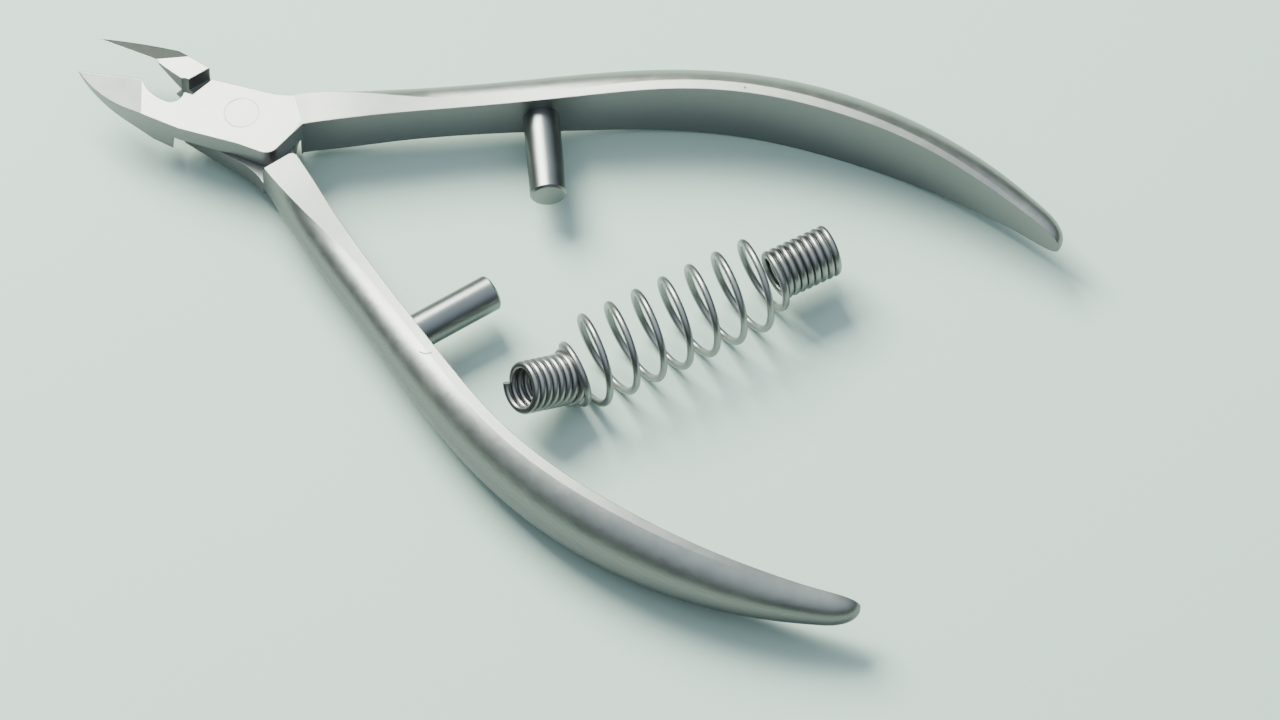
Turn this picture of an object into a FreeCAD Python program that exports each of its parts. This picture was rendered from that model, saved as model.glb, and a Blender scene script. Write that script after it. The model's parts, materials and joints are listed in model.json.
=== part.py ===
import FreeCAD, Part
import math
import os
import Sketcher

# Cuticle nipper, lying flat and open. Millimetres. +X runs from the jaws to the
# handle ends, +Y is the handle side of half A, +Z is up, the table is Z = 0.
# All outlines below are laid out from the pivot, then each part is placed.

doc = FreeCAD.newDocument("cuticle_nipper")
sheet = doc.addObject("Spreadsheet::Sheet", "Dimensions")
VALUES = {}


def dim(alias, value):
    """Write one driving dimension into the sheet."""
    cell = "B%d" % (len(VALUES) + 1)
    sheet.set("A%d" % (len(VALUES) + 1), alias)
    sheet.set(cell, repr(float(value)))
    sheet.setAlias(cell, alias)
    VALUES[alias] = float(value)


# ---- overall placing -------------------------------------------------------
dim("pivot_to_centre", 35.3)
dim("table_to_midplane", 4.962)

# ---- head: side profile, heights about the mid-plane ------------------------
dim("head_blank_height", 8.0)
dim("face_at_heel", 2.02)
dim("face_at_joint", 3.0)
dim("joint_reach", 6.6)
dim("root_reach", 16.0)
dim("tip_reach", 20.5)
dim("tip_top", 1.2)
dim("tip_under", 0.95)
dim("belly_reach", 9.0)
dim("belly_depth", 2.2)
dim("nose_mid_reach", 14.0)
dim("nose_mid_under", 0.35)
dim("heel_reach", 12.5)
dim("lap_gap", 0.04)
dim("blade_bevel_angle", 38.0)
dim("relief_foot", -0.2)

# ---- pivot rivet -------------------------------------------------------------
dim("rivet_radius", 1.45)
dim("rivet_head_radius", 1.95)
dim("rivet_head_depth", 0.7)
dim("rivet_clearance", 0.03)

# ---- spring posts ------------------------------------------------------------
dim("post_radius", 2.1)
dim("post_length", 10.6)
dim("post_chamfer", 0.25)
dim("post_drop", 0.4)
dim("post_root_along", 30.0)
dim("post_root_across", 16.2)
dim("post_heading", 31.0)
dim("stud_radius", 1.4)
dim("stud_depth", 2.8)

# ---- barrel spring -------------------------------------------------------------
dim("wire_radius", 0.42)
dim("end_coil_radius", 2.58)
dim("barrel_radius", 4.94)
dim("first_coil_turns", 8.64)
dim("last_coil_turns", 8.46)
dim("barrel_turns", 6.44)
dim("blend_turns", 0.8)
dim("flare_turns", 2.2)
dim("flare_growth", 0.75)
dim("first_coil_bend", 23.0)
dim("first_coil_drop", 1.48)
dim("start_phase", 325.0)
dim("end_coil_pitch", 0.88)
dim("barrel_pitch", 3.43)
dim("spring_along", 55.82)
dim("spring_across", -2.25)
dim("spring_heading", 54.8)
dim("points_per_turn", 16)

# ---- plan outlines of the two heads --------------------------------------------
HEAD_A = {
    "tip": (-19.85, -2.35), "heel": (-12.5, -0.6),
    "throat_mid": (-10.9, -1.75), "throat": (-8.3, -2.15),
    "corner_mid": (-7.5, -1.6), "corner": (-7.25, -0.3),
    "front_low": (-6.2, 2.0), "front_mid": (-5.9, 2.5), "front": (-5.2, 2.7),
    "outer_start": (0.7, 3.6), "outer_mid": (3.3, 4.2), "outer_root": (5.4, 5.2),
    "root": (8.3, 2.6), "crotch_high": (7.8, 2.3),
    "crotch_mid": (7.25, 1.95), "crotch": (7.0, 1.4),
    "rear": (5.95, -2.4), "rear_mid": (5.45, -3.4), "rear_low": (4.4, -3.85),
    "flank": (1.5, -3.95), "jaw_root": (-5.6, -4.9),
    "jaw_back": (-12.0, -4.85), "jaw_mid": (-16.3, -4.15),
}
HEAD_B = {
    "tip": (-20.0, 2.48), "heel": (-12.5, 2.4),
    "throat_mid": (-10.5, 1.85), "throat": (-8.5, 1.38),
    "corner_mid": (-7.35, 1.5), "corner": (-6.65, 0.9),
    "front_low": (-6.2, -2.6), "front_mid": (-5.9, -3.4), "front": (-5.2, -3.7),
    "outer_start": (0.7, -4.45), "outer_mid": (3.2, -4.75), "outer_root": (5.4, -5.55),
    "root": (8.3, -2.6), "crotch_high": (7.8, -2.3),
    "crotch_mid": (7.25, -1.95), "crotch": (7.0, -1.4),
    "rear": (5.95, 2.4), "rear_mid": (5.45, 3.4), "rear_low": (4.4, 3.85),
    "flank": (1.5, 3.9), "jaw_root": (-6.0, 3.95),
    "jaw_back": (-10.5, 4.65), "jaw_mid": (-15.3, 3.75),
}
# Walk round the head: (kind, end point, point the arc passes through).
HEAD_WALK = [
    ("line", "heel", None), ("arc", "throat", "throat_mid"), ("arc", "corner", "corner_mid"),
    ("line", "front_low", None), ("arc", "front", "front_mid"), ("line", "outer_start", None),
    ("arc", "outer_root", "outer_mid"), ("line", "root", None), ("line", "crotch_high", None),
    ("arc", "crotch", "crotch_mid"), ("line", "rear", None), ("arc", "rear_low", "rear_mid"),
    ("line", "flank", None), ("line", "jaw_root", None), ("line", "jaw_back", None),
    ("arc", "tip", "jaw_mid"),
]
for side, points in (("a", HEAD_A), ("b", HEAD_B)):
    for name, (px, py) in points.items():
        dim("%s_%s_along" % (name, side), px)
        dim("%s_%s_across" % (name, side), py)

# Shoulder walls of the lap joint: distance from the pivot and facing angle.
dim("jaw_wall_distance_a", 7.75)
dim("jaw_wall_facing_a", 201.0)
dim("jaw_wall_distance_b", 7.35)
dim("jaw_wall_facing_b", 149.0)
dim("rear_wall_distance_a", 6.6)
dim("rear_wall_distance_b", 7.9)
dim("rear_wall_facing", 29.0)
dim("wall_half_span", 9.0)
dim("shoulder_radius", 0.7)

# Outer end of the line where the blade facet meets the flat joint face.
dim("facet_end_a_along", -10.4)
dim("facet_end_a_across", -4.8)
dim("facet_end_b_along", -8.9)
dim("facet_end_b_across", 4.5)

# ---- handle sections: inner edge position, heading, half height, depth, and the flat
# left on the upper and lower side before the round begins ----
STATIONS = [
    (7.0, 1.5, 39.0, 3.01, 4.4, 4.1, 3.9),
    (9.4, 3.2, 38.0, 3.07, 4.35, 3.95, 3.5),
    (12.2, 5.1, 36.0, 3.1, 4.5, 3.4, 2.9),
    (15.2, 7.15, 33.6, 3.02, 4.45, 2.6, 2.2),
    (18.0, 8.95, 32.2, 2.95, 4.35, 1.9, 1.6),
    (26.3, 14.0, 30.8, 3.1, 4.35, 1.1, 1.0),
    (34.0, 18.6, 30.9, 3.65, 4.55, 1.1, 1.0),
    (43.2, 23.7, 25.4, 4.38, 4.55, 1.2, 1.1),
    (52.0, 26.95, 14.7, 4.78, 4.7, 1.2, 1.1),
    (62.2, 28.75, 6.2, 4.85, 4.78, 1.1, 1.0),
    (72.2, 29.1, -2.5, 4.28, 4.28, 0.9, 0.9),
    (80.7, 28.2, -9.2, 3.15, 3.6, 0.7, 0.7),
    (86.0, 27.2, -12.2, 2.35, 2.9, 0.5, 0.5),
    (88.9, 26.5, -14.0, 1.8, 2.2, 0.4, 0.4),
    (90.1, 26.2, -14.0, 1.1, 1.3, 0.25, 0.25),
    (90.45, 26.1, -14.0, 0.5, 0.6, 0.15, 0.15),
]
SECTION_WORDS = ("along", "across", "heading", "rise", "depth", "flat", "flat_under")
for number, station in enumerate(STATIONS):
    for word, value in zip(SECTION_WORDS, station):
        dim("station%d_%s" % (number, word), value)

doc.recompute()


# ---- helpers --------------------------------------------------------------------
def cell(alias):
    return "Dimensions.%s" % alias


def plane_of(body, role):
    return [f for f in body.Origin.OriginFeatures if f.Role == role][0]


def new_sketch(body, name, role, offset=None):
    sketch = body.newObject("Sketcher::SketchObject", name)
    sketch.AttachmentSupport = (plane_of(body, role), "")
    sketch.MapMode = "FlatFace"
    if offset is not None:
        sketch.AttachmentOffset = offset
    return sketch


def pin_point(sketch, geo, pos, point):
    """Hold one sketch point at coordinates that follow the sheet."""
    rows = (("DistanceX", point[0], point[2]), ("DistanceY", point[1], point[3]))
    for kind, number, text in rows:
        index = sketch.addConstraint(Sketcher.Constraint(kind, -1, 1, geo, pos, number))
        sketch.setExpression("Constraints[%d]" % index, text)


def draw(sketch, points, walk, start):
    """Closed outline of lines and three-point arcs through sheet-driven points."""
    here = start
    first = None
    previous = None
    for kind, end, through in walk:
        p, q = [FreeCAD.Vector(*points[n][:2], 0) for n in (here, end)]
        if kind == "line":
            geo = sketch.addGeometry(Part.LineSegment(p, q), False)
            ends = (1, 2)
        else:
            m = FreeCAD.Vector(*points[through][:2], 0)
            turn = (m - p).cross(q - m).z
            ends = (1, 2) if turn > 0 else (2, 1)
            arc = Part.Arc(p, m, q) if turn > 0 else Part.Arc(q, m, p)
            geo = sketch.addGeometry(arc, False)
            spot = sketch.addGeometry(Part.Point(m), True)
            pin_point(sketch, spot, 1, points[through])
            sketch.addConstraint(Sketcher.Constraint("PointOnObject", spot, 1, geo))
        if previous is not None:
            sketch.addConstraint(Sketcher.Constraint("Coincident", *previous, geo, ends[0]))
        else:
            first = (geo, ends[0])
        pin_point(sketch, geo, ends[1], points[end])
        previous = (geo, ends[1])
        here = end
    sketch.addConstraint(Sketcher.Constraint("Coincident", *previous, *first))


def chain(points):
    """Names and a straight-sided walk for a list of points."""
    named = {"p%d" % i: p for i, p in enumerate(points)}
    walk = [("line", "p%d" % ((i + 1) % len(points)), None) for i in range(len(points))]
    return named, walk


def at(x_alias, y_alias, x_sign=1, y_sign=1):
    return (
        x_sign * VALUES[x_alias], y_sign * VALUES[y_alias],
        "%d * %s" % (x_sign, cell(x_alias)), "%d * %s" % (y_sign, cell(y_alias)),
    )


def fixed(x, y):
    return (x, y, repr(float(x)), repr(float(y)))


def pocket(body, sketch, length, reverse, both=False):
    cut = body.newObject("PartDesign::Pocket", sketch.Name + "_cut")
    cut.Profile = sketch
    cut.Type = "Length"
    cut.Length = length
    cut.Reversed = reverse
    if both:
        cut.SideType = "Symmetric"
    return cut


def face_height(x):
    """Height of the ground joint face above the mid-plane at one place along."""
    heel, joint = -VALUES["heel_reach"], VALUES["joint_reach"]
    slope = (VALUES["face_at_joint"] - VALUES["face_at_heel"]) / (joint - heel)
    return VALUES["face_at_heel"] + slope * (x - heel)


def plane_offset(origin, along, normal):
    """Placement whose X runs along a line and whose Z is the plane normal."""
    x_axis = along.normalize()
    z_axis = normal.normalize()
    y_axis = z_axis.cross(x_axis)
    matrix = FreeCAD.Matrix(
        x_axis.x, y_axis.x, z_axis.x, origin.x,
        x_axis.y, y_axis.y, z_axis.y, origin.y,
        x_axis.z, y_axis.z, z_axis.z, origin.z, 0, 0, 0, 1)
    return FreeCAD.Placement(matrix)


def place_at_pivot(item):
    item.Placement = FreeCAD.Placement(
        FreeCAD.Vector(-VALUES["pivot_to_centre"], 0, VALUES["table_to_midplane"]), FreeCAD.Rotation())


def post_root(hand):
    """Where a post's axis meets the inner face of its handle."""
    return FreeCAD.Vector(
        VALUES["post_root_along"], hand * VALUES["post_root_across"], -VALUES["post_drop"])


def circle_on(sketch, alias):
    """A circle about the sketch origin whose radius follows the sheet."""
    shape = Part.Circle(FreeCAD.Vector(0, 0, 0), FreeCAD.Vector(0, 0, 1), VALUES[alias])
    circle = sketch.addGeometry(shape, False)
    sketch.addConstraint(Sketcher.Constraint("Coincident", circle, 3, -1, 1))
    radius = sketch.addConstraint(Sketcher.Constraint("Radius", circle, VALUES[alias]))
    sketch.setExpression("Constraints[%d]" % radius, cell(alias))


def half(label, side, points, hand, lap):
    """One forged half: head, blade, lap joint and handle.

    hand is +1 where the handle lies on +Y, lap is +1 where the lap plate is
    the upper one.
    """
    body = doc.addObject("PartDesign::Body", label)
    body.Label = label

    blank = new_sketch(body, label + "_plan", "XY_Plane")
    named = {n: at("%s_%s_along" % (n, side), "%s_%s_across" % (n, side)) for n in points}
    draw(blank, named, HEAD_WALK, "tip")
    pad = body.newObject("PartDesign::Pad", label + "_blank")
    pad.Profile = blank
    pad.Type = "Length"
    pad.SideType = "Symmetric"
    pad.setExpression("Length", cell("head_blank_height"))
    doc.recompute()

    # Upper face ground down towards the blades.
    top = new_sketch(body, label + "_top", "XZ_Plane")
    named, walk = chain([
        at("tip_reach", "face_at_heel", -1), at("heel_reach", "face_at_heel", -1),
        at("joint_reach", "face_at_joint"), at("root_reach", "face_at_joint"),
        at("root_reach", "head_blank_height"), at("tip_reach", "head_blank_height", -1)])
    draw(top, named, walk, "p0")
    pocket(body, top, 30.0, False, True)
    doc.recompute()

    # Underside: flat under the joint, swept up under the nose.
    under = new_sketch(body, label + "_under", "XZ_Plane")
    named = {
        "tip": at("tip_reach", "tip_under", -1), "mid": at("nose_mid_reach", "nose_mid_under", -1, -1),
        "belly": at("belly_reach", "belly_depth", -1, -1), "joint": at("joint_reach", "face_at_joint", 1, -1),
        "root": at("root_reach", "face_at_joint", 1, -1),
        "far": at("root_reach", "head_blank_height", 1, -1),
        "back": at("tip_reach", "head_blank_height", -1, -1),
    }
    walk = [("arc", "belly", "mid"), ("line", "joint", None), ("line", "root", None),
            ("line", "far", None), ("line", "back", None), ("line", "tip", None)]
    draw(under, named, walk, "tip")
    pocket(body, under, 30.0, False, True)
    doc.recompute()

    # Blade facet: plane through the tip, the heel and the outer facet end.
    tip = FreeCAD.Vector(*points["tip"], VALUES["tip_top"])
    heel = FreeCAD.Vector(*points["heel"], VALUES["face_at_heel"])
    end_x = VALUES["facet_end_%s_along" % side]
    outer = FreeCAD.Vector(end_x, VALUES["facet_end_%s_across" % side], face_height(end_x))
    normal = (heel - tip).cross(outer - tip)
    if normal.z < 0:
        normal = -normal
    slope = plane_offset(heel, heel - tip, FreeCAD.Vector(normal))
    facet = new_sketch(body, label + "_facet", "XY_Plane", slope)
    named, walk = chain([fixed(-14, -9), fixed(12, -9), fixed(12, 9), fixed(-14, 9)])
    draw(facet, named, walk, "p0")
    pocket(body, facet, 6.0, True)
    doc.recompute()

    # Knife bevel under the cutting edge, falling away from the meeting plane.
    edge = (heel - tip).normalize()
    inward = FreeCAD.Vector(0, 0, 1).cross(edge) * hand
    tilt = math.radians(VALUES["blade_bevel_angle"])
    bevel_normal = inward * math.cos(tilt) - FreeCAD.Vector(0, 0, 1) * math.sin(tilt)
    slope = plane_offset(heel, FreeCAD.Vector(edge), bevel_normal)
    bevel = new_sketch(body, label + "_bevel", "XY_Plane", slope)
    named, walk = chain([fixed(-14, -9), fixed(0.6, -9), fixed(0.6, 9), fixed(-14, 9)])
    draw(bevel, named, walk, "p0")
    pocket(body, bevel, 8.0, True)
    doc.recompute()

    # Throat relief: the jaw's inner side leans back, deeper towards the shoulder.
    foot = FreeCAD.Vector(*points["throat"], VALUES["relief_foot"])
    run = foot - heel
    lean = FreeCAD.Vector(0, -hand * math.tan(tilt), -1)
    relief_normal = run.cross(lean).normalize()
    if relief_normal.y * hand < 0:
        relief_normal = -relief_normal
    slope = plane_offset(heel, FreeCAD.Vector(run), FreeCAD.Vector(relief_normal))
    relief = new_sketch(body, label + "_relief", "XY_Plane", slope)
    length = run.Length
    named, walk = chain([fixed(0, -9), fixed(length, -9), fixed(length, 9), fixed(0, 9)])
    draw(relief, named, walk, "p0")
    pocket(body, relief, 3.0, True)
    doc.recompute()

    # Handle: half-round sections from the joint to the rounded end.
    sections = []
    for number in range(len(STATIONS)):
        word = "station%d_" % number
        offset = FreeCAD.Placement(
            FreeCAD.Vector(hand * VALUES[word + "across"], 0, VALUES[word + "along"]),
            FreeCAD.Rotation(FreeCAD.Vector(0, 1, 0), hand * VALUES[word + "heading"]))
        sketch = new_sketch(body, "%s_section%d" % (label, number), "YZ_Plane", offset)
        rise = VALUES[word + "rise"]
        named = {
            "low": (0.0, -rise, "0", "-" + cell(word + "rise")),
            "high": (0.0, rise, "0", cell(word + "rise")),
            "high_flat": at(word + "flat", word + "rise", hand),
            "low_flat": at(word + "flat_under", word + "rise", hand, -1),
            "bulge": (hand * VALUES[word + "depth"], 0.0, "%d * %s" % (hand, cell(word + "depth")), "0"),
        }
        walk = [("line", "high", None), ("line", "high_flat", None),
                ("arc", "low_flat", "bulge"), ("line", "low", None)]
        draw(sketch, named, walk, "low")
        sections.append(sketch)
    doc.recompute()
    loft = body.newObject("PartDesign::AdditiveLoft", label + "_handle")
    loft.Profile = sections[0]
    loft.Sections = sections[1:]
    loft.Ruled = False
    doc.recompute()

    # Lap joint: the other half's thickness is cleared between the two shoulders.
    corners = []
    for distance, facing, flip in (
            ("jaw_wall_distance_%s" % side, "jaw_wall_facing_%s" % side, 1),
            ("rear_wall_distance_%s" % side, "rear_wall_facing", hand)):
        angle = math.radians(VALUES[facing]) * flip
        foot = FreeCAD.Vector(math.cos(angle), math.sin(angle), 0) * VALUES[distance]
        run = FreeCAD.Vector(-math.sin(angle), math.cos(angle), 0) * VALUES["wall_half_span"]
        corners += [foot + run, foot - run]
    lap_plan = new_sketch(
        body, label + "_lap", "XY_Plane",
        FreeCAD.Placement(FreeCAD.Vector(0, 0, lap * VALUES["lap_gap"] / 2), FreeCAD.Rotation()))
    named, walk = chain([fixed(c.x, c.y) for c in corners])
    draw(lap_plan, named, walk, "p0")
    cleared = pocket(body, lap_plan, 8.0, lap < 0)
    doc.recompute()

    # The visible upper shoulder's corner towards the other handle is eased.
    if lap < 0:
        corners = [
            "Edge%d" % (i + 1) for i, e in enumerate(cleared.Shape.Edges)
            if e.BoundBox.DiagonalLength - e.BoundBox.ZLength < 0.02 and e.BoundBox.ZMin > -1
            and e.BoundBox.ZLength > 2 and e.BoundBox.Center.x > 6 and e.BoundBox.Center.y > -3]
        eased = body.newObject("PartDesign::Fillet", label + "_shoulder")
        eased.Base = (cleared, corners)
        eased.setExpression("Radius", cell("shoulder_radius"))
        doc.recompute()

    # Rivet seat: plain bore and countersink on the outer face.
    spare = 0.0 if lap > 0 else VALUES["rivet_clearance"]
    shank = VALUES["rivet_radius"] + spare
    head = VALUES["rivet_head_radius"] + spare
    crown = face_height(0)
    seat = new_sketch(body, label + "_seat", "XZ_Plane")
    named, walk = chain([
        fixed(0, -lap), fixed(shank, -lap), fixed(shank, lap * (crown - VALUES["rivet_head_depth"])),
        fixed(head, lap * crown), fixed(head, lap * 5), fixed(0, lap * 5)])
    draw(seat, named, walk, "p0")
    groove = body.newObject("PartDesign::Groove", label + "_bore")
    groove.Profile = seat
    groove.ReferenceAxis = (seat, ["V_Axis"])
    groove.Angle = 360.0
    doc.recompute()

    # Blind bore in the inner face for the stud of the spring post.
    turn = math.radians(VALUES["post_heading"]) * hand
    inner = post_root(hand)
    outward = FreeCAD.Vector(-math.sin(turn), math.cos(turn), 0) * hand
    along = FreeCAD.Vector(math.cos(turn), math.sin(turn), 0)
    slope = plane_offset(inner - outward * 0.5, along, outward)
    bore = new_sketch(body, label + "_post_bore", "XY_Plane", slope)
    circle_on(bore, "stud_radius")
    pocket(body, bore, VALUES["stud_depth"] + 0.5, True)
    doc.recompute()
    place_at_pivot(body)
    return body


def pivot_rivet():
    """Pivot rivet: a plain shank with a countersunk head at each outer face."""
    body = doc.addObject("PartDesign::Body", "pivot_rivet")
    body.Label = "pivot_rivet"
    shank = VALUES["rivet_radius"]
    head = VALUES["rivet_head_radius"]
    crown = face_height(0)
    neck = crown - VALUES["rivet_head_depth"]
    over = crown + VALUES["rivet_head_depth"]
    profile = new_sketch(body, "rivet_profile", "XZ_Plane")
    named, walk = chain([
        fixed(0, -over), fixed(head, -over), fixed(head, -crown), fixed(shank, -neck),
        fixed(shank, neck), fixed(head, crown), fixed(head, over), fixed(0, over)])
    draw(profile, named, walk, "p0")
    turned = body.newObject("PartDesign::Revolution", "rivet_turned")
    turned.Profile = profile
    turned.ReferenceAxis = (profile, ["V_Axis"])
    turned.Angle = 360.0
    doc.recompute()
    # Both heads are dressed flush with the sloping joint faces.
    reach = 3.0
    for sign in (1, -1):
        flush = new_sketch(body, "rivet_flush_%s" % ("top" if sign > 0 else "under"), "XZ_Plane")
        named, walk = chain([
            fixed(-reach, sign * face_height(-reach)), fixed(reach, sign * face_height(reach)),
            fixed(reach, sign * 5), fixed(-reach, sign * 5)])
        draw(flush, named, walk, "p0")
        pocket(body, flush, 10.0, False, True)
        doc.recompute()
    place_at_pivot(body)
    return body


def spring_post(label, hand):
    """Round post with a chamfered end and a stud pressed into the handle."""
    body = doc.addObject("PartDesign::Body", label)
    body.Label = label
    outline = new_sketch(body, label + "_round", "XY_Plane")
    circle_on(outline, "post_radius")
    post = body.newObject("PartDesign::Pad", label + "_post")
    post.Profile = outline
    post.setExpression("Length", cell("post_length"))
    doc.recompute()
    far = VALUES["post_length"]
    rims = [
        "Edge%d" % (i + 1) for i, e in enumerate(post.Shape.Edges)
        if e.BoundBox.ZMin > far - 0.01]
    chamfer = body.newObject("PartDesign::Chamfer", label + "_chamfer")
    chamfer.Base = (post, rims)
    chamfer.setExpression("Size", cell("post_chamfer"))
    doc.recompute()
    root = new_sketch(body, label + "_stud_round", "XY_Plane")
    circle_on(root, "stud_radius")
    stud = body.newObject("PartDesign::Pad", label + "_stud")
    stud.Profile = root
    stud.Reversed = True
    stud.setExpression("Length", cell("stud_depth"))
    doc.recompute()
    turn = math.radians(VALUES["post_heading"]) * hand
    inner = post_root(hand)
    inward = FreeCAD.Vector(math.sin(turn), -math.cos(turn), 0) * hand
    spin = FreeCAD.Rotation(FreeCAD.Vector(0, 0, 1), inward)
    shift = FreeCAD.Vector(-VALUES["pivot_to_centre"], 0, VALUES["table_to_midplane"])
    body.Placement = FreeCAD.Placement(inner + shift, spin)
    return body


def ease(u):
    u = min(max(u, 0.0), 1.0)
    return u * u * (3 - 2 * u)


def barrel_spring():
    """One wire: close-wound end coils that open into a wide barrel.

    The first end coil flares over its last turns and is bent upwards.
    """
    first, last = VALUES["first_coil_turns"], VALUES["last_coil_turns"]
    blend, flare_turns = VALUES["blend_turns"], VALUES["flare_turns"]
    total = first + last + 2 * blend + VALUES["barrel_turns"]
    count = int(round(total * VALUES["points_per_turn"]))
    barrel_radius, end_radius = VALUES["barrel_radius"], VALUES["end_coil_radius"]
    steps = [total * i / count for i in range(count + 1)]
    opened = [ease((t - first) / blend) * ease((total - last - t) / blend) for t in steps]
    close, wide = VALUES["end_coil_pitch"], VALUES["barrel_pitch"]
    pitches = [(close + w * (wide - close)) * total / count for w in opened]
    middle = count // 2
    path = []
    for i, turn in enumerate(steps):
        bend = math.radians(VALUES["first_coil_bend"]) * (1 - ease((turn - first + 1.5) / 1.5))
        radius = end_radius + opened[i] * (barrel_radius - end_radius)
        if turn < first + blend:
            flare = VALUES["flare_growth"] * ease((turn - first + flare_turns) / flare_turns)
            radius += flare * (1 - opened[i])
        angle = -2 * math.pi * turn + math.radians(VALUES["start_phase"])
        path.append((turn, bend, radius, angle))
    centres = [FreeCAD.Vector(0, 0, 0)]
    for i in range(1, count + 1):
        bend = path[i][1]
        drop = VALUES["first_coil_drop"] * (opened[i] - opened[i - 1] if i < middle else 0.0)
        step = FreeCAD.Vector(pitches[i] * math.cos(bend), 0, drop - pitches[i] * math.sin(bend))
        centres.append(centres[-1] + step)
    points = []
    for (turn, bend, radius, angle), centre in zip(path, centres):
        up = FreeCAD.Vector(math.sin(bend), 0, math.cos(bend))
        side = FreeCAD.Vector(0, 1, 0)
        spoke = side * (radius * math.cos(angle)) + up * (radius * math.sin(angle))
        points.append(centre - centres[middle] + spoke)
    curve = Part.BSplineCurve()
    curve.interpolate(points)
    spine = Part.Wire(curve.toShape())
    start = curve.value(curve.FirstParameter)
    heading = curve.tangent(curve.FirstParameter)[0]
    section = Part.Wire(Part.makeCircle(VALUES["wire_radius"], start, heading))
    spring = doc.addObject("Part::Feature", "barrel_spring")
    spring.Label = "barrel_spring"
    spring.Shape = spine.makePipeShell([section], True, True)
    spring.Placement = FreeCAD.Placement(
        FreeCAD.Vector(
            VALUES["spring_along"] - VALUES["pivot_to_centre"], VALUES["spring_across"],
            barrel_radius + VALUES["wire_radius"]),
        FreeCAD.Rotation(FreeCAD.Vector(0, 0, 1), VALUES["spring_heading"]))
    return spring


PARTS = [
    half("half_a", "a", HEAD_A, 1, 1),
    half("half_b", "b", HEAD_B, -1, -1),
    pivot_rivet(),
    spring_post("spring_post_a", 1),
    spring_post("spring_post_b", -1),
    barrel_spring(),
]
doc.recompute()

for item in doc.Objects:
    if "Invalid" in item.State or "Error" in item.State:
        raise RuntimeError("%s did not build" % item.Name)
for item in PARTS:
    if item.Shape.isNull() or not item.Shape.isValid() or len(item.Shape.Solids) != 1:
        raise RuntimeError("%s is not one sound solid" % item.Label)

os.makedirs("parts", exist_ok=True)
for item in PARTS:
    item.Shape.exportStep("parts/%s.step" % item.Label)
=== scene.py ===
import json
import math
import bpy
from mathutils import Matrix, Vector

# Satin steel cuticle nipper with its loose barrel spring, on a pale table.

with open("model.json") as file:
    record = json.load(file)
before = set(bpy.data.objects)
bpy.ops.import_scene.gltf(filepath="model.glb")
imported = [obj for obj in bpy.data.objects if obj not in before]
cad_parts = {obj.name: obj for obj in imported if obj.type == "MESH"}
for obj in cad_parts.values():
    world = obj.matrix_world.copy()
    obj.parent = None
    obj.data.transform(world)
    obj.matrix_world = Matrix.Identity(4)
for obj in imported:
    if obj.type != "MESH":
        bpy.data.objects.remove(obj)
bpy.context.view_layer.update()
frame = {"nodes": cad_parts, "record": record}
MM = 0.001
NODES = frame["nodes"]
JOINTS = {joint["name"]: joint for joint in frame["record"]["behaviour"]["joints"]}
PIVOT = Vector(JOINTS["pivot"]["pos_m"])

# Places on the blades and marks are in millimetres from the pivot, in plan.
# Each blade: heel, outer end of the facet line, tip.
BLADES = {
    "a": ((-12.5, -0.6), (-10.4, -4.8), (-19.85, -2.35)),
    "b": ((-12.5, 2.4), (-8.9, 4.5), (-20.0, 2.48)),
}
FACET_SOFTNESS = 0.02
# Width and softness of a painted highlight along each cutting edge.
EDGE_STRIP = 0.10
STRIP_SOFTNESS = 0.03
EDGE_EASE = 0.13
EASE_SAMPLES = 6

# How far a face looks up, from 0 on a wall to 1 on a level top: where each mask starts and ends.
TOP_FACES = (0.80, 0.84)
STEEP_SIDES = (0.15, 0.75)

# Small marks of use.
RIVET_RING = 1.97
RIVET_RING_WIDTH = 0.05
RING_BREAKS = (0.35, 0.6)
RING_FAINTEST = 0.15
NICK = (50.5, 27.2)
NICK_RADIUS = 0.16
DENT_CENTRE = (33.2, -18.85)
DENT_RADIUS = 1.16
DENT_WIDTH = 0.08
DENT_MIDDLE = (33.6, -19.95)
DENT_SPAN = 0.95

# Shares of a ring's width and of a spot's radius that are fully marked.
RING_CORE = 0.2
SPOT_CORE = 0.7

# Depth of a mark, counted in grain heights.
MARK_DEPTH = 6.0

# Tones of the steel, linear. The side and facet tones are painted shade, darker on half B than on
# half A because of how the light falls; the edge tone is a painted highlight.
SATIN_DARK = (0.295, 0.30, 0.285)
SATIN_LIGHT = (0.34, 0.345, 0.32)
# Painted highlight: a lighter band along the cutting edge, inside the facet's painted shade.
EDGE_HIGHLIGHT_TONE = (0.34, 0.35, 0.34)
MARK_TONE = (0.15, 0.15, 0.15)
# Painted shade: steep sides darkened, half B more than half A, for how the light falls on them.
FLANK_SHADE_TONE = {"a": (0.24, 0.235, 0.24), "b": (0.165, 0.16, 0.165)}
# Painted shade: ground facets darkened, half B far more than half A, for the darker light they
# reflect.
FACET_SHADE_TONE = {"a": (0.075, 0.08, 0.078), "b": (0.020, 0.022, 0.021)}
SATIN_ROUGHNESS = (0.33, 0.45)
FACET_SMOOTHER = 0.06

# Noise values lie mostly within this range.
NOISE_RANGE = (0.3, 0.7)

# Grain: cycles per metre along each axis, and its height in metres.
CLOUD = (160, 160, 160)
SATIN_CLOUD = (420, 420, 420)
SATIN_GRAIN = (900, 14000, 14000)
GRAIN_DEPTH = 0.004 * MM

# Light strength of the room, and how far up it starts and stops growing.
ROOM_STRENGTH = (0.05, 1.4)
ROOM_RISE = (0.3, 1.0)
ROOM_TONE = (0.74, 0.88, 1.0)

FLOOR_SIDE = 4
FLOOR_TONE = (0.545, 0.69, 0.61)
FLOOR_ROUGHNESS = 0.7

# The photograph's view: a long lens above the tool, turned in degrees.
LENS_LENGTH = 253.3
CAMERA_PLACE = (0.24868, -0.48149, 0.86841)
CAMERA_TURN = (31.353, -0.161, 26.127)

# Sockets of the colour mix node, which share their names with its other sockets.
MIX_FIRST = 6
MIX_SECOND = 7
MIX_RESULT = 2


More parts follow.
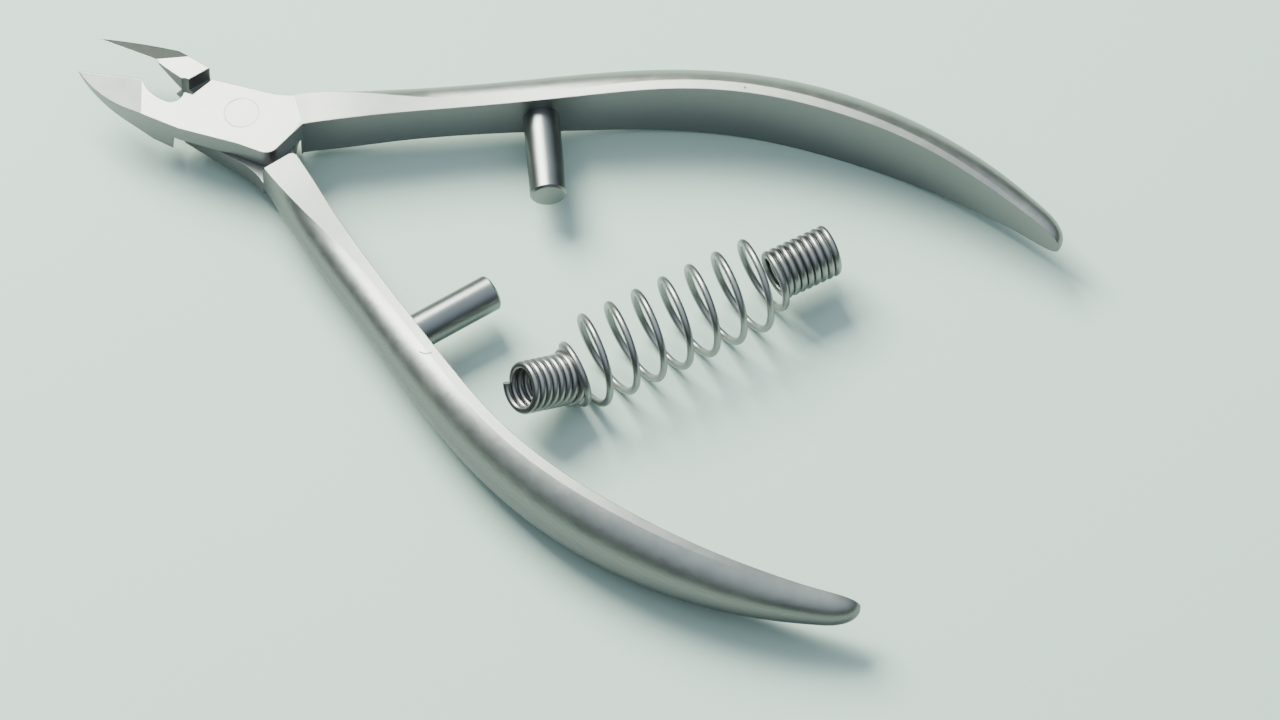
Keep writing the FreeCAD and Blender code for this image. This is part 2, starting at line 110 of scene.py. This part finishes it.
# ---- materials ---------------------------------------------------------------
def set_range(node, start, end, low, high):
    """Fill in a map range node."""
    for socket, value in zip(("From Min", "From Max", "To Min", "To Max"), (start, end, low, high)):
        node.inputs[socket].default_value = value


class Nodes:
    """Short words for wiring one material."""

    def __init__(self, name):
        self.material = bpy.data.materials.new(name)
        self.material.use_nodes = True
        self.tree = self.material.node_tree
        self.shader = self.tree.nodes["Principled BSDF"]
        self.place = self.add("ShaderNodeTexCoord").outputs["Object"]

    def add(self, kind, **values):
        node = self.tree.nodes.new(kind)
        for key, value in values.items():
            setattr(node, key, value)
        return node

    def link(self, source, socket):
        self.tree.links.new(source, socket)

    def noise(self, per_metre, detail, rough=0.55):
        """Noise in metres; per_metre gives cycles along each axis."""
        mapping = self.add("ShaderNodeMapping")
        mapping.inputs["Scale"].default_value = per_metre
        self.link(self.place, mapping.inputs["Vector"])
        tex = self.add("ShaderNodeTexNoise")
        tex.inputs["Scale"].default_value = 1.0
        tex.inputs["Detail"].default_value = detail
        tex.inputs["Roughness"].default_value = rough
        self.link(mapping.outputs["Vector"], tex.inputs["Vector"])
        return tex.outputs["Fac"]

    def spread(self, source, low, high, start=NOISE_RANGE[0], end=NOISE_RANGE[1]):
        """Map start..end onto low..high, held flat outside."""
        node = self.add("ShaderNodeMapRange")
        set_range(node, start, end, low, high)
        self.link(source, node.inputs["Value"])
        return node.outputs["Result"]

    def maths(self, operation, first, second):
        node = self.add("ShaderNodeMath", operation=operation)
        for socket, value in zip(node.inputs, (first, second)):
            if isinstance(value, (int, float)):
                socket.default_value = value
            else:
                self.link(value, socket)
        return node.outputs["Value"]

    def blend(self, factor, first, second):
        """Mix two colours, each a tuple or another node's output."""
        node = self.add("ShaderNodeMix", data_type="RGBA")
        self.link(factor, node.inputs["Factor"])
        for number, colour in ((MIX_FIRST, first), (MIX_SECOND, second)):
            if isinstance(colour, tuple):
                node.inputs[number].default_value = (*colour, 1)
            else:
                self.link(colour, node.inputs[number])
        return node.outputs[MIX_RESULT]

    def average(self, first, second):
        halves = [self.maths("MULTIPLY", value, 0.5) for value in (first, second)]
        return self.maths("ADD", *halves)

    def bump(self, height, edge=0.0):
        """Grain height, over edges eased by a small radius where one is given."""
        node = self.add("ShaderNodeBump")
        if edge:
            eased = self.add("ShaderNodeBevel", samples=EASE_SAMPLES)
            eased.inputs["Radius"].default_value = edge
            self.link(eased.outputs["Normal"], node.inputs["Normal"])
        node.inputs["Distance"].default_value = GRAIN_DEPTH
        node.inputs["Strength"].default_value = 1.0
        self.link(height, node.inputs["Height"])
        self.link(node.outputs["Normal"], self.shader.inputs["Normal"])


def metal(name, dark, light, roughness, grain):
    """Satin metal: cloudy tint, cloudy roughness, and a fine directional grain."""
    made = Nodes(name)
    made.shader.inputs["Metallic"].default_value = 1.0
    cloud = made.noise(CLOUD, detail=4.0)
    streak = made.noise(grain, detail=4.0, rough=0.65)
    tone = made.blend(made.spread(cloud, 0, 1), dark, light)
    made.link(tone, made.shader.inputs["Base Color"])
    uneven = made.spread(made.average(cloud, streak), *roughness)
    made.link(uneven, made.shader.inputs["Roughness"])
    made.bump(streak)
    return made.material


def blade_shade_and_highlight_masks(made, side):
    """Masks over one half: its ground facet (painted shade, smoother finish), its cutting edge
    (painted highlight), its steep sides (painted shade).
    """
    heel, end, tip = [PIVOT + Vector((*p, 0)) * MM for p in BLADES[side]]
    place = made.add("ShaderNodeSeparateXYZ")
    made.link(made.place, place.inputs["Vector"])

    def beyond(origin, direction, soft):
        """0 to 1 ramp across a line in plan, on the side that direction points to."""
        across = Vector(direction).normalized()
        x = made.maths("MULTIPLY", place.outputs["X"], across.x)
        y = made.maths("MULTIPLY", place.outputs["Y"], across.y)
        level = origin.x * across.x + origin.y * across.y
        far = made.maths("SUBTRACT", made.maths("ADD", x, y), level)
        return made.spread(far, 0, 1, -soft, soft)

    line = end - heel
    away = Vector((line.y, -line.x, 0))
    if away.x > 0:
        away = -away
    facing = made.add("ShaderNodeSeparateXYZ")
    made.link(made.add("ShaderNodeNewGeometry").outputs["True Normal"], facing.inputs["Vector"])
    upward = made.spread(facing.outputs["Z"], 0, 1, *TOP_FACES)
    # The facet mask carries painted shade and a smoother finish.
    facet = made.maths("MULTIPLY", beyond(heel, away, FACET_SOFTNESS * MM), upward)
    # Painted shade on the steep sides.
    shaded_flank = made.spread(facing.outputs["Z"], 1, 0, *STEEP_SIDES)
    edge = tip - heel
    inward = Vector((-edge.y, edge.x, 0))
    if (inward.y < 0) == (side == "b"):
        inward = -inward
    # A painted highlight along the cutting edge.
    strip_line = heel + inward.normalized() * EDGE_STRIP * MM
    behind = beyond(strip_line, inward, STRIP_SOFTNESS * MM)
    edge_highlight = made.maths("MULTIPLY", facet, made.maths("SUBTRACT", 1.0, behind))
    return facet, edge_highlight, shaded_flank


def reach_from(made, centre):
    """Plan distance from a point given in millimetres from the pivot."""
    shift = made.add("ShaderNodeVectorMath", operation="SUBTRACT")
    made.link(made.place, shift.inputs[0])
    shift.inputs[1].default_value = PIVOT + Vector((*centre, 0)) * MM
    flat = made.add("ShaderNodeVectorMath", operation="MULTIPLY")
    made.link(shift.outputs["Vector"], flat.inputs[0])
    flat.inputs[1].default_value = (1, 1, 0)
    reach = made.add("ShaderNodeVectorMath", operation="LENGTH")
    made.link(flat.outputs["Vector"], reach.inputs[0])
    return reach.outputs["Value"]


def ring(made, centre, radius, width):
    """1 on a thin circle in plan, 0 more than the width to either side."""
    past = made.maths("SUBTRACT", reach_from(made, centre), radius * MM)
    off = made.maths("ABSOLUTE", past, 0)
    return made.spread(off, 1, 0, RING_CORE * width * MM, width * MM)


def spot(made, centre, radius):
    """1 inside a small round patch in plan, 0 outside."""
    return made.spread(reach_from(made, centre), 1, 0, SPOT_CORE * radius * MM, radius * MM)


def worn_mark(made, side, cloud):
    """Half A: the broken ring round the rivet head and a nick. Half B: a curved dent."""
    if side == "a":
        broken = made.spread(cloud, RING_FAINTEST, 1, *RING_BREAKS)
        around = made.maths("MULTIPLY", ring(made, (0, 0), RIVET_RING, RIVET_RING_WIDTH), broken)
        return made.maths("MAXIMUM", around, spot(made, NICK, NICK_RADIUS))
    dent = ring(made, DENT_CENTRE, DENT_RADIUS, DENT_WIDTH)
    return made.maths("MULTIPLY", dent, spot(made, DENT_MIDDLE, DENT_SPAN))


def blade_steel(name, side):
    """Satin steel with painted shade on its steep sides and blade facet, a painted highlight along
    the cutting edge, and small marks.
    """
    made = Nodes(name)
    made.shader.inputs["Metallic"].default_value = 1.0
    cloud = made.noise(SATIN_CLOUD, detail=6.0, rough=0.62)
    streak = made.noise(SATIN_GRAIN, detail=4.0, rough=0.65)
    facet, edge_highlight, shaded_flank = blade_shade_and_highlight_masks(made, side)
    tone = made.blend(made.spread(cloud, 0, 1), SATIN_DARK, SATIN_LIGHT)
    # Painted shade on the steep sides.
    tone = made.blend(shaded_flank, tone, FLANK_SHADE_TONE[side])
    # Painted shade on the ground facet.
    tone = made.blend(facet, tone, FACET_SHADE_TONE[side])
    # Painted highlight along the cutting edge.
    tone = made.blend(edge_highlight, tone, EDGE_HIGHLIGHT_TONE)
    mark = worn_mark(made, side, cloud)
    tone = made.blend(mark, tone, MARK_TONE)
    made.link(tone, made.shader.inputs["Base Color"])
    uneven = made.spread(made.average(cloud, streak), *SATIN_ROUGHNESS)
    ground = made.maths("SUBTRACT", uneven, made.maths("MULTIPLY", facet, FACET_SMOOTHER))
    made.link(ground, made.shader.inputs["Roughness"])
    height = made.maths("SUBTRACT", streak, made.maths("MULTIPLY", mark, MARK_DEPTH))
    made.bump(height, EDGE_EASE * MM)
    return made.material


rivet = metal(
    "rivet_steel", dark=(0.27, 0.275, 0.28), light=(0.32, 0.325, 0.325),
    roughness=(0.32, 0.43), grain=(9000, 9000, 9000))
post = metal(
    "post_steel", dark=(0.20, 0.21, 0.21), light=(0.25, 0.26, 0.26),
    roughness=(0.28, 0.40), grain=(12000, 2500, 12000))
wire = metal(
    "spring_wire", dark=(0.27, 0.27, 0.27), light=(0.36, 0.36, 0.355),
    roughness=(0.30, 0.42), grain=(5000, 5000, 5000))
FINISH = {
    "half_a": blade_steel("satin_steel_painted_shade_a", "a"), "half_b": blade_steel("satin_steel_painted_shade_b", "b"),
    "pivot_rivet": rivet, "spring_post_a": post, "spring_post_b": post, "barrel_spring": wire,
}

for name, node in NODES.items():
    node.data.materials.clear()
    node.data.materials.append(FINISH[name])

# ---- camera --------------------------------------------------------------------
lens = bpy.data.cameras.new("camera")
lens.lens = LENS_LENGTH
lens.sensor_width = 36
lens.clip_end = 10
camera = bpy.data.objects.new("camera", lens)
bpy.context.scene.collection.objects.link(camera)
camera.location = CAMERA_PLACE
camera.rotation_euler = [math.radians(angle) for angle in CAMERA_TURN]
bpy.context.scene.camera = camera

# ---- table and light --------------------------------------------------------------
bpy.ops.mesh.primitive_plane_add(size=FLOOR_SIDE)
floor = bpy.context.object
floor.name = "floor"
table = Nodes("table")
table.shader.inputs["Base Color"].default_value = (*FLOOR_TONE, 1)
table.shader.inputs["Roughness"].default_value = FLOOR_ROUGHNESS
floor.data.materials.append(table.material)


def panel(name, place, size, power, colour):
    """A soft light panel that faces the middle of the tool."""
    light = bpy.data.lights.new(name, "AREA")
    light.shape = "RECTANGLE"
    light.size, light.size_y = size
    light.energy = power
    light.color = colour
    holder = bpy.data.objects.new(name, light)
    bpy.context.scene.collection.objects.link(holder)
    holder.location = place
    holder.rotation_euler = (-Vector(place)).to_track_quat("-Z", "Y").to_euler()


panel("window", place=(-0.50, 0.27, 0.58), size=(0.48, 0.42), power=21, colour=(0.95, 1.0, 0.88))

# The room: brighter overhead than along the horizon.
world = bpy.data.worlds.new("room")
world.use_nodes = True
room = world.node_tree
sky = room.nodes["Background"]
sky.inputs["Color"].default_value = (*ROOM_TONE, 1)
where = room.nodes.new("ShaderNodeTexCoord")
parts = room.nodes.new("ShaderNodeSeparateXYZ")
rise = room.nodes.new("ShaderNodeMapRange")
set_range(rise, *ROOM_RISE, *ROOM_STRENGTH)
room.links.new(where.outputs["Generated"], parts.inputs["Vector"])
room.links.new(parts.outputs["Z"], rise.inputs["Value"])
room.links.new(rise.outputs["Result"], sky.inputs["Strength"])
bpy.context.scene.world = world
